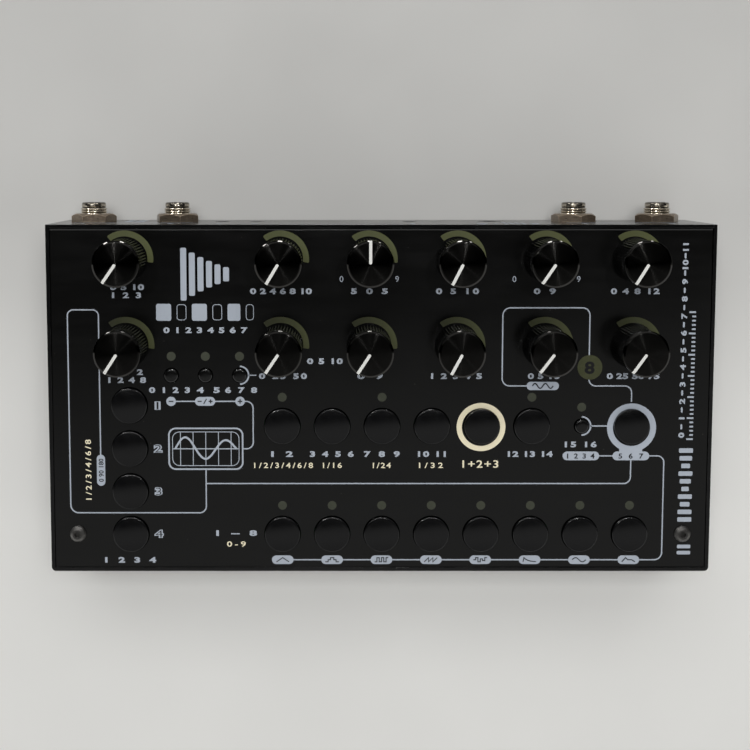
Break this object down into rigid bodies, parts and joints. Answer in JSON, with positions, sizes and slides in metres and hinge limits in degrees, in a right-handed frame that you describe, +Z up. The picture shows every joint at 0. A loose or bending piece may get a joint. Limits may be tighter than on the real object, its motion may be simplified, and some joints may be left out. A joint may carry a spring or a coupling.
{
  "type": "digital delay unit",
  "caption": "Desktop digital delay unit: flat black metal case with an inset panel of ribbed knobs, round push buttons and lamps, and plug sockets along the rear.",
  "frame": {"origin": "on the surface the feet stand on, under the middle of the whole unit with its sockets", "axes": "+X to the operator's right, +Y to the rear face with the sockets, +Z up out of the control panel"},
  "size_m": [0.23, 0.1282, 0.0623],
  "materials": {
    "case": "satin black powder coat",
    "faceplate": "matt black with pale blue, cream and olive print",
    "circuit_board": "satin solder mask",
    "pot_metal": "satin",
    "plated_steel": "bright nickel plate",
    "switch_plastic": "matt",
    "lamp_plastic": "translucent white",
    "socket_plastic": "satin",
    "board_connector": "satin",
    "chip": "matt",
    "capacitor": "bright drawn",
    "black_screw": "black oxide",
    "foot_rubber": "matt",
    "knob": "satin black with a spun metal cap and a white line",
    "button": "satin",
    "small_button": "gloss"
  },
  "bodies": {
    "unit": {"case": "case", "rear_panel": "case", "faceplate": "faceplate", "control_board": "circuit_board", "main_board": "circuit_board", "pot_bodies": "pot_metal", "pot_washers": "plated_steel", "pot_nuts": "plated_steel", "round_switches": "switch_plastic", "small_switches": "switch_plastic", "lamps": "lamp_plastic", "socket_bodies": "socket_plastic", "socket_barrels": "plated_steel", "socket_nuts": "plated_steel", "mini_sockets": "socket_plastic", "power_inlet": "socket_plastic", "board_standoffs": "plated_steel", "standoff_screws": "plated_steel", "board_headers": "board_connector", "processor": "chip", "capacitors": "capacitor", "panel_pillars": "plated_steel", "panel_screws": "black_screw", "pillar_screws": "black_screw", "rubber_feet": "foot_rubber"},
    "knob_input_gain": {"knob_input_gain": "knob"},
    "knob_feedback": {"knob_feedback": "knob"},
    "knob_filter": {"knob_filter": "knob"},
    "knob_levels": {"knob_levels": "knob"},
    "knob_mix": {"knob_mix": "knob"},
    "knob_volume": {"knob_volume": "knob"},
    "knob_speed": {"knob_speed": "knob"},
    "knob_coarse": {"knob_coarse": "knob"},
    "knob_fine": {"knob_fine": "knob"},
    "knob_spacing": {"knob_spacing": "knob"},
    "knob_rate": {"knob_rate": "knob"},
    "knob_amount": {"knob_amount": "knob"},
    "button_a": {"button_a": "button"},
    "button_b": {"button_b": "button"},
    "button_c": {"button_c": "button"},
    "button_d": {"button_d": "button"},
    "button_tap": {"button_tap": "button"},
    "button_select": {"button_select": "button"},
    "button_write": {"button_write": "button"},
    "button_play": {"button_play": "button"},
    "button_shift": {"button_shift": "button"},
    "button_bypass": {"button_bypass": "button"},
    "button_effect": {"button_effect": "button"},
    "button_preset_1": {"button_preset_1": "button"},
    "button_preset_2": {"button_preset_2": "button"},
    "button_preset_3": {"button_preset_3": "button"},
    "button_preset_4": {"button_preset_4": "button"},
    "button_preset_5": {"button_preset_5": "button"},
    "button_preset_6": {"button_preset_6": "button"},
    "button_preset_7": {"button_preset_7": "button"},
    "button_preset_8": {"button_preset_8": "button"},
    "button_freeze": {"button_freeze": "small_button"},
    "button_link": {"button_link": "small_button"},
    "button_sync": {"button_sync": "small_button"},
    "button_rate_sync": {"button_rate_sync": "small_button"}
  },
  "joints": [
    {"name": "knob_input_gain_turn", "type": "hinge", "parent": "unit", "child": "knob_input_gain", "pos_m": [-0.088, 0.04505, 0.0435], "axis": [0, 0, -1], "range_deg": [0, 300]},
    {"name": "knob_feedback_turn", "type": "hinge", "parent": "unit", "child": "knob_feedback", "pos_m": [-0.0346, 0.04505, 0.0435], "axis": [0, 0, -1], "range_deg": [0, 300]},
    {"name": "knob_filter_turn", "type": "hinge", "parent": "unit", "child": "knob_filter", "pos_m": [-0.0042, 0.04505, 0.0435], "axis": [0, 0, -1], "range_deg": [-150, 150]},
    {"name": "knob_levels_turn", "type": "hinge", "parent": "unit", "child": "knob_levels", "pos_m": [0.0262, 0.04505, 0.0435], "axis": [0, 0, -1], "range_deg": [0, 300]},
    {"name": "knob_mix_turn", "type": "hinge", "parent": "unit", "child": "knob_mix", "pos_m": [0.0566, 0.04505, 0.0435], "axis": [0, 0, -1], "range_deg": [0, 300]},
    {"name": "knob_volume_turn", "type": "hinge", "parent": "unit", "child": "knob_volume", "pos_m": [0.087, 0.04505, 0.0435], "axis": [0, 0, -1], "range_deg": [0, 300]},
    {"name": "knob_speed_turn", "type": "hinge", "parent": "unit", "child": "knob_speed", "pos_m": [-0.088, 0.01525, 0.0435], "axis": [0, 0, -1], "range_deg": [0, 300]},
    {"name": "knob_coarse_turn", "type": "hinge", "parent": "unit", "child": "knob_coarse", "pos_m": [-0.0346, 0.01525, 0.0435], "axis": [0, 0, -1], "range_deg": [0, 300]},
    {"name": "knob_fine_turn", "type": "hinge", "parent": "unit", "child": "knob_fine", "pos_m": [-0.0042, 0.01525, 0.0435], "axis": [0, 0, -1], "range_deg": [0, 300]},
    {"name": "knob_spacing_turn", "type": "hinge", "parent": "unit", "child": "knob_spacing", "pos_m": [0.0262, 0.01525, 0.0435], "axis": [0, 0, -1], "range_deg": [0, 300]},
    {"name": "knob_rate_turn", "type": "hinge", "parent": "unit", "child": "knob_rate", "pos_m": [0.0566, 0.01525, 0.0435], "axis": [0, 0, -1], "range_deg": [0, 300]},
    {"name": "knob_amount_turn", "type": "hinge", "parent": "unit", "child": "knob_amount", "pos_m": [0.087, 0.01525, 0.0435], "axis": [0, 0, -1], "range_deg": [0, 300]},
    {"name": "button_a_press", "type": "slide", "parent": "unit", "child": "button_a", "axis": [0, 0, -1], "range_m": [0, 0.0004], "stiffness_N_per_m": 2000, "springref_m": -0.0004},
    {"name": "button_b_press", "type": "slide", "parent": "unit", "child": "button_b", "axis": [0, 0, -1], "range_m": [0, 0.0004], "stiffness_N_per_m": 2000, "springref_m": -0.0004},
    {"name": "button_c_press", "type": "slide", "parent": "unit", "child": "button_c", "axis": [0, 0, -1], "range_m": [0, 0.0004], "stiffness_N_per_m": 2000, "springref_m": -0.0004},
    {"name": "button_d_press", "type": "slide", "parent": "unit", "child": "button_d", "axis": [0, 0, -1], "range_m": [0, 0.0004], "stiffness_N_per_m": 2000, "springref_m": -0.0004},
    {"name": "button_tap_press", "type": "slide", "parent": "unit", "child": "button_tap", "axis": [0, 0, -1], "range_m": [0, 0.0004], "stiffness_N_per_m": 2000, "springref_m": -0.0004},
    {"name": "button_select_press", "type": "slide", "parent": "unit", "child": "button_select", "axis": [0, 0, -1], "range_m": [0, 0.0004], "stiffness_N_per_m": 2000, "springref_m": -0.0004},
    {"name": "button_write_press", "type": "slide", "parent": "unit", "child": "button_write", "axis": [0, 0, -1], "range_m": [0, 0.0004], "stiffness_N_per_m": 2000, "springref_m": -0.0004},
    {"name": "button_play_press", "type": "slide", "parent": "unit", "child": "button_play", "axis": [0, 0, -1], "range_m": [0, 0.0004], "stiffness_N_per_m": 2000, "springref_m": -0.0004},
    {"name": "button_shift_press", "type": "slide", "parent": "unit", "child": "button_shift", "axis": [0, 0, -1], "range_m": [0, 0.0004], "stiffness_N_per_m": 2000, "springref_m": -0.0004},
    {"name": "button_bypass_press", "type": "slide", "parent": "unit", "child": "button_bypass", "axis": [0, 0, -1], "range_m": [0, 0.0004], "stiffness_N_per_m": 2000, "springref_m": -0.0004},
    {"name": "button_effect_press", "type": "slide", "parent": "unit", "child": "button_effect", "axis": [0, 0, -1], "range_m": [0, 0.0004], "stiffness_N_per_m": 2000, "springref_m": -0.0004},
    {"name": "button_preset_1_press", "type": "slide", "parent": "unit", "child": "button_preset_1", "axis": [0, 0, -1], "range_m": [0, 0.0004], "stiffness_N_per_m": 2000, "springref_m": -0.0004},
    {"name": "button_preset_2_press", "type": "slide", "parent": "unit", "child": "button_preset_2", "axis": [0, 0, -1], "range_m": [0, 0.0004], "stiffness_N_per_m": 2000, "springref_m": -0.0004},
    {"name": "button_preset_3_press", "type": "slide", "parent": "unit", "child": "button_preset_3", "axis": [0, 0, -1], "range_m": [0, 0.0004], "stiffness_N_per_m": 2000, "springref_m": -0.0004},
    {"name": "button_preset_4_press", "type": "slide", "parent": "unit", "child": "button_preset_4", "axis": [0, 0, -1], "range_m": [0, 0.0004], "stiffness_N_per_m": 2000, "springref_m": -0.0004},
    {"name": "button_preset_5_press", "type": "slide", "parent": "unit", "child": "button_preset_5", "axis": [0, 0, -1], "range_m": [0, 0.0004], "stiffness_N_per_m": 2000, "springref_m": -0.0004},
    {"name": "button_preset_6_press", "type": "slide", "parent": "unit", "child": "button_preset_6", "axis": [0, 0, -1], "range_m": [0, 0.0004], "stiffness_N_per_m": 2000, "springref_m": -0.0004},
    {"name": "button_preset_7_press", "type": "slide", "parent": "unit", "child": "button_preset_7", "axis": [0, 0, -1], "range_m": [0, 0.0004], "stiffness_N_per_m": 2000, "springref_m": -0.0004},
    {"name": "button_preset_8_press", "type": "slide", "parent": "unit", "child": "button_preset_8", "axis": [0, 0, -1], "range_m": [0, 0.0004], "stiffness_N_per_m": 2000, "springref_m": -0.0004},
    {"name": "button_freeze_press", "type": "slide", "parent": "unit", "child": "button_freeze", "axis": [0, 0, -1], "range_m": [0, 0.0004], "stiffness_N_per_m": 2000, "springref_m": -0.0004},
    {"name": "button_link_press", "type": "slide", "parent": "unit", "child": "button_link", "axis": [0, 0, -1], "range_m": [0, 0.0004], "stiffness_N_per_m": 2000, "springref_m": -0.0004},
    {"name": "button_sync_press", "type": "slide", "parent": "unit", "child": "button_sync", "axis": [0, 0, -1], "range_m": [0, 0.0004], "stiffness_N_per_m": 2000, "springref_m": -0.0004},
    {"name": "button_rate_sync_press", "type": "slide", "parent": "unit", "child": "button_rate_sync", "axis": [0, 0, -1], "range_m": [0, 0.0004], "stiffness_N_per_m": 2000, "springref_m": -0.0004}
  ]
}
